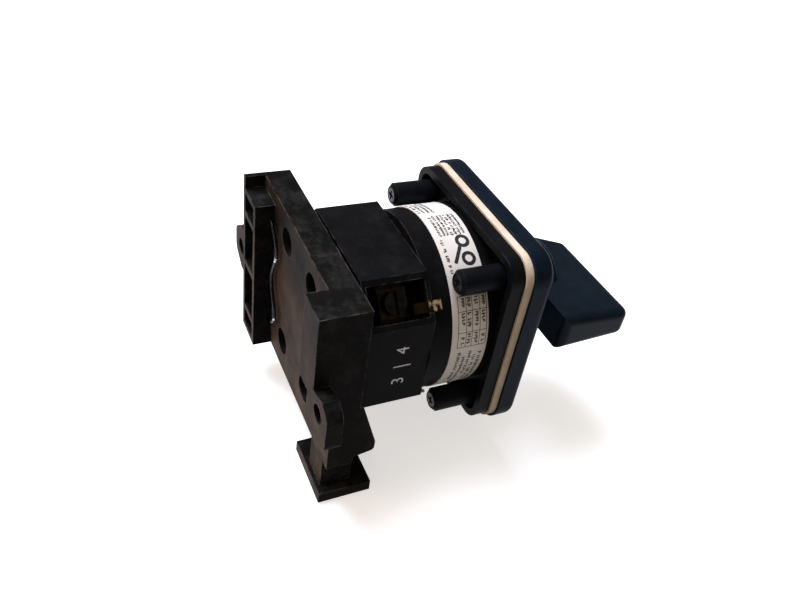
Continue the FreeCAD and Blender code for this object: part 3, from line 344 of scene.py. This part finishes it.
for node, thing in NODES.items():
    thing.data.materials.clear()
    thing.data.materials.append(finish_for(node))

# Moulded edges are never knife sharp: a small round catches the light on them
EDGE_ROUNDS_MM = {"base": 0.3, "contact_block": 0.25, "rear_frame": 0.25, "end_cover": 0.2, "foot": 0.35,
                  "handle": 0.3, "gasket": 0.15, "latch_housing": 0.25}
for node, radius_mm in EDGE_ROUNDS_MM.items():
    rounding = NODES[node].modifiers.new("edge_round", "BEVEL")
    rounding.width = radius_mm * MM
    rounding.segments = 2
    rounding.limit_method = "ANGLE"
    rounding.angle_limit = math.radians(40)


# Terminal numbers on the sides of the contact block

NUMBER_HEIGHT_MM = 3.0
BAR_HEIGHT_MM = 3.2
LETTER_TO_FONT = 1.42
MARK_BACK_MM = 6.7
LOW_NUMBER_MM = -4.5
HIGH_NUMBER_MM = 4.7


def side_mark(name, text, height_mm, up_mm, side):
    """A plain number or bar printed on a side of the block; side is -1 for near, 1 for far"""
    curve = bpy.data.curves.new(name, "FONT")
    curve.body = text
    curve.size = height_mm * LETTER_TO_FONT * MM
    curve.align_x = "CENTER"
    curve.align_y = "CENTER"
    curve.extrude = INK_STAND
    thing = bpy.data.objects.new(name, curve)
    bpy.context.collection.objects.link(thing)
    right = Vector((0, 0, -side))
    top = Vector((0, 1, 0))
    turn = Matrix((right, top, right.cross(top))).transposed().to_4x4()
    spot = Vector((side * (SIDE_FACE + INK_STAND), BLOCK_FRONT + MARK_BACK_MM * MM, up_mm * MM))
    thing.matrix_world = Matrix.Translation(spot) @ turn
    thing.data.materials.append(NUMBER_INK)
    bpy.context.view_layer.update()
    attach(thing, "switch")


for side, side_name, low, high in ((-1, "near", "3", "4"), (1, "far", "2", "1")):
    side_mark("number_" + low, low, NUMBER_HEIGHT_MM, LOW_NUMBER_MM * -side, side)
    side_mark("number_" + high, high, NUMBER_HEIGHT_MM, HIGH_NUMBER_MM * -side, side)
    side_mark("number_bar_" + side_name, "|", BAR_HEIGHT_MM, 0.0, side)


# Print on the label: plain strokes and ruled fields, no words. Places on it are pairs in
# millimetres: round from the top, positive towards the near side, and back from its front edge.

STROKE_SHARE = 0.28
PITCH_SHARE = 0.72
FRAME_LINE_MM = 0.16
RULE_LINE_MM = 0.14
BEND_STEP_MM = 0.9
RING_STEPS = 36

# Blocks of lines: start, number of lines, their spacing, length, height and first pattern
LINE_BLOCKS = (
    ((-11.0, 4.6), 4, 1.15, 8.6, 0.75, 0),
    ((-1.4, 1.0), 7, 0.98, 7.4, 0.72, 5),
    ((6.8, 7.3), 1, 1.0, 9.0, 0.8, 3),
    ((-30.0, 1.6), 4, 1.6, 13.4, 0.9, 7),
    ((-58.0, 1.6), 4, 1.7, 20.0, 1.0, 1),
)

# The contact symbol: two rings and an open bar
RING_CENTRES = ((7.5, 2.6), (12.0, 2.6))
RING_RADIUS_MM = 1.3
SYMBOL_LINE_MM = 0.85
SYMBOL_BAR = ((8.5, 3.5), (12.8, 6.1))

# The near table: its corners, level rules, upright rules and the lines in its cells
TABLE_LOW = (20.2, 0.5)
TABLE_HIGH = (32.4, 7.6)
TABLE_RULES = (2.2, 4.1, 5.6)
TABLE_BARS = (23.6, 28.6)
TABLE_ROWS = (0.85, 2.6, 4.4, 5.95)
TABLE_COLUMNS = ((20.7, 2.6), (24.1, 4.0), (29.1, 3.0))
TABLE_TEXT_MM = 1.0

# The far field and its upright rules
FIELD_LOW = (-30.6, 1.0)
FIELD_HIGH = (-16.0, 8.0)
FIELD_BARS = (-26.0, -21.0)

# Below the near table, lines of uneven length
LOOSE_START = (34.0, 0.9)
LOOSE_LINES = 5
LOOSE_SPACING_MM = 1.35
LOOSE_INDENT_MM = 1.5
LOOSE_LENGTH_MM = 13.0
LOOSE_SHORTER_MM = 2.0
LOOSE_TEXT_MM = 0.95


def label_spot(around_mm, back_mm):
    """The point of the label's surface at a flat place on it"""
    turn = around_mm * MM / PRINT_RADIUS
    return Vector((-math.sin(turn) * PRINT_RADIUS, LABEL_FRONT + back_mm * MM,
                   math.cos(turn) * PRINT_RADIUS))


def print_stroke(mesh, start, end, width_mm):
    """A thin ribbon of ink on the curved label between two flat places"""
    way = Vector((end[0] - start[0], end[1] - start[1]))
    across = Vector((-way.y, way.x)).normalized() * width_mm / 2
    steps = max(1, math.ceil(abs(way.x) / BEND_STEP_MM))
    rows = []
    for step in range(steps + 1):
        middle = Vector(start) + way * step / steps
        left = middle + across
        right = middle - across
        rows.append((mesh.verts.new(label_spot(left.x, left.y)),
                     mesh.verts.new(label_spot(right.x, right.y))))
    for here, there in zip(rows, rows[1:]):
        mesh.faces.new((here[0], here[1], there[1], there[0]))


def print_frame(mesh, low, high, bars, rules=()):
    """A ruled rectangle with upright bars and level rules inside"""
    corners = [(low[0], low[1]), (high[0], low[1]), (high[0], high[1]), (low[0], high[1])]
    for here, there in zip(corners, corners[1:] + corners[:1]):
        print_stroke(mesh, here, there, FRAME_LINE_MM)
    for level in rules:
        print_stroke(mesh, (low[0], level), (high[0], level), RULE_LINE_MM)
    for place in bars:
        print_stroke(mesh, (place, low[1]), (place, high[1]), RULE_LINE_MM)


def print_ring(mesh, centre):
    """A ring of ink in one closed ribbon"""
    half_line = SYMBOL_LINE_MM / 2
    rows = []
    for index in range(RING_STEPS):
        turn = 2 * math.pi * index / RING_STEPS
        rows.append([mesh.verts.new(label_spot(centre[0] + reach * math.cos(turn),
                                               centre[1] + reach * math.sin(turn)))
                     for reach in (RING_RADIUS_MM + half_line, RING_RADIUS_MM - half_line)])
    for here, there in zip(rows, rows[1:] + rows[:1]):
        mesh.faces.new((here[0], here[1], there[1], there[0]))


def print_line(mesh, start, length, height, pattern):
    """A line of small upright and level dashes in an uneven pattern, in place of text"""
    left, low = start
    pitch = height * PITCH_SHARE
    width = height * STROKE_SHARE
    for index in range(int(length / pitch)):
        code = (index * 7 + pattern * 11 + (index * index) % 5) % 9
        if code == 4:
            continue
        place = left + index * pitch
        tall = height if code % 2 else height * 0.75
        print_stroke(mesh, (place, low), (place, low + tall), width)
        if code in (1, 2, 5, 7):
            level = low + height * (0.1, 0.4, 0.7)[code % 3]
            print_stroke(mesh, (place, level), (place + pitch * 0.62, level), width)
        if code in (0, 3, 8):
            print_stroke(mesh, (place + pitch * 0.5, low), (place + pitch * 0.5, low + tall * 0.7), width)


def print_label():
    """Lines, ruled fields and a plain contact symbol round the label"""
    mesh = bmesh.new()
    for start, count, spacing, length, height, pattern in LINE_BLOCKS:
        for line in range(count):
            print_line(mesh, (start[0], start[1] + line * spacing), length, height, pattern + line)
    for centre in RING_CENTRES:
        print_ring(mesh, centre)
    print_stroke(mesh, *SYMBOL_BAR, SYMBOL_LINE_MM)
    print_frame(mesh, TABLE_LOW, TABLE_HIGH, TABLE_BARS, TABLE_RULES)
    for row, level in enumerate(TABLE_ROWS):
        for column, (place, length) in enumerate(TABLE_COLUMNS):
            print_line(mesh, (place, level), length, TABLE_TEXT_MM, row * len(TABLE_COLUMNS) + column)
    for line in range(LOOSE_LINES):
        start = (LOOSE_START[0] + (line % 2) * LOOSE_INDENT_MM, LOOSE_START[1] + line * LOOSE_SPACING_MM)
        print_line(mesh, start, LOOSE_LENGTH_MM - (line % 3) * LOOSE_SHORTER_MM, LOOSE_TEXT_MM, line + 2)
    print_frame(mesh, FIELD_LOW, FIELD_HIGH, FIELD_BARS)
    flat = bpy.data.meshes.new("label_print")
    mesh.to_mesh(flat)
    mesh.free()
    for face in flat.polygons:
        outward = Vector((face.center.x, 0, face.center.z))
        if face.normal.dot(outward) < 0:
            face.flip()
    thing = bpy.data.objects.new("label_print", flat)
    bpy.context.collection.objects.link(thing)
    flat.materials.append(INK)
    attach(thing, "switch")


print_label()


# Floor, sky, lamps and camera

FLOOR_HALF = 3.0
FLOOR_GAP = 0.02 * MM
FLOOR_LIFT = 0.55
SKY_LIGHT = 0.41
SKY_SEEN = 1.0
LAMP_SIZE = 0.40
LAMP_AIM = Vector((0, -0.03, 0))
CAMERA_PLACE = (-0.12553, 0.04067, 0.11481)
CAMERA_RIGHT = (-0.3984, -0.9076, 0.1325)
CAMERA_UP = (0.6170, -0.1583, 0.7709)
CAMERA_BACK = (-0.6787, 0.3889, 0.6230)


def studio_paint():
    """Pale floor paint: white to the eye and in reflections, with the shadow kept, and a plain grey
    to the light that bounces up from it"""
    paint, tree, shader = start_material("studio_paint")[:3]
    shader.inputs["Roughness"].default_value = 1.0
    shader.inputs["Specular IOR Level"].default_value = 0.0
    path = add_node(tree, "ShaderNodeLightPath")
    seen = add_node(tree, "ShaderNodeMath", {"operation": "MAXIMUM"},
                    {0: path.outputs["Is Camera Ray"], 1: path.outputs["Is Glossy Ray"]})
    seen = add_node(tree, "ShaderNodeMath", {"operation": "MAXIMUM"},
                    {0: seen, 1: path.outputs["Is Transmission Ray"]})
    surface = add_node(tree, "ShaderNodeMix",
                       {"data_type": "RGBA", MIX_FIRST: "#6E6E6E", MIX_SECOND: "#F6F6F6"},
                       {MIX_FACTOR: seen})
    tree.links.new(surface.outputs[MIX_RESULT], shader.inputs["Base Color"])
    shader.inputs["Emission Color"].default_value = linear("#FFFFFF")
    lift = add_node(tree, "ShaderNodeMath", {"operation": "MULTIPLY", 1: FLOOR_LIFT}, {0: seen})
    tree.links.new(lift.outputs[0], shader.inputs["Emission Strength"])
    return paint


def lay_floor():
    """A wide flat floor just under the switch"""
    mesh = bpy.data.meshes.new("studio_floor")
    corners = [(x * FLOOR_HALF, y * FLOOR_HALF, 0) for x, y in ((-1, -1), (1, -1), (1, 1), (-1, 1))]
    mesh.from_pydata(corners, [], [(0, 1, 2, 3)])
    mesh.materials.append(studio_paint())
    floor = bpy.data.objects.new("studio_floor", mesh)
    floor.location = (0, 0, FLOOR_LEVEL - FLOOR_GAP)
    bpy.context.collection.objects.link(floor)


def light_sky():
    """A faint warm light from all round, seen by the camera as plain white"""
    world = bpy.data.worlds.new("studio_world")
    bpy.context.scene.world = world
    world.use_nodes = True
    tree = world.node_tree
    background = tree.nodes["Background"]
    seen = add_node(tree, "ShaderNodeLightPath").outputs["Is Camera Ray"]
    colour = add_node(tree, "ShaderNodeMix",
                      {"data_type": "RGBA", MIX_FIRST: "#F6E8D8", MIX_SECOND: "#FFFFFF"},
                      {MIX_FACTOR: seen})
    tree.links.new(colour.outputs[MIX_RESULT], background.inputs["Color"])
    strength = add_node(tree, "ShaderNodeMapRange", {"To Min": SKY_LIGHT, "To Max": SKY_SEEN},
                        {"Value": seen})
    tree.links.new(strength.outputs["Result"], background.inputs["Strength"])


def hang_lamp(name, place, energy, colour):
    """A soft square lamp aimed at the middle of the switch"""
    light = bpy.data.lights.new(name, "AREA")
    light.size = LAMP_SIZE
    light.energy = energy
    light.color = linear(colour)[:3]
    thing = bpy.data.objects.new(name, light)
    thing.location = place
    aim = LAMP_AIM - Vector(place)
    thing.rotation_euler = aim.to_track_quat("-Z", "Y").to_euler()
    bpy.context.collection.objects.link(thing)


def place_camera():
    """The camera at the photograph's viewing angle"""
    data = bpy.data.cameras.new("photo_camera")
    data.lens = 34.30
    data.sensor_width = 36.0
    data.clip_start = 0.01
    camera = bpy.data.objects.new("photo_camera", data)
    axes = Matrix((CAMERA_RIGHT, CAMERA_UP, CAMERA_BACK)).transposed()
    camera.matrix_world = Matrix.Translation(CAMERA_PLACE) @ axes.to_4x4()
    bpy.context.collection.objects.link(camera)
    bpy.context.scene.camera = camera
    bpy.context.scene.view_settings.view_transform = "Standard"


lay_floor()
light_sky()
hang_lamp("key_lamp", (0.26, 0.10, 0.64), 7.4, "#DEE9FF")
hang_lamp("rear_lamp", (0.12, 0.62, 0.22), 1.15, "#FFC796")
place_camera()
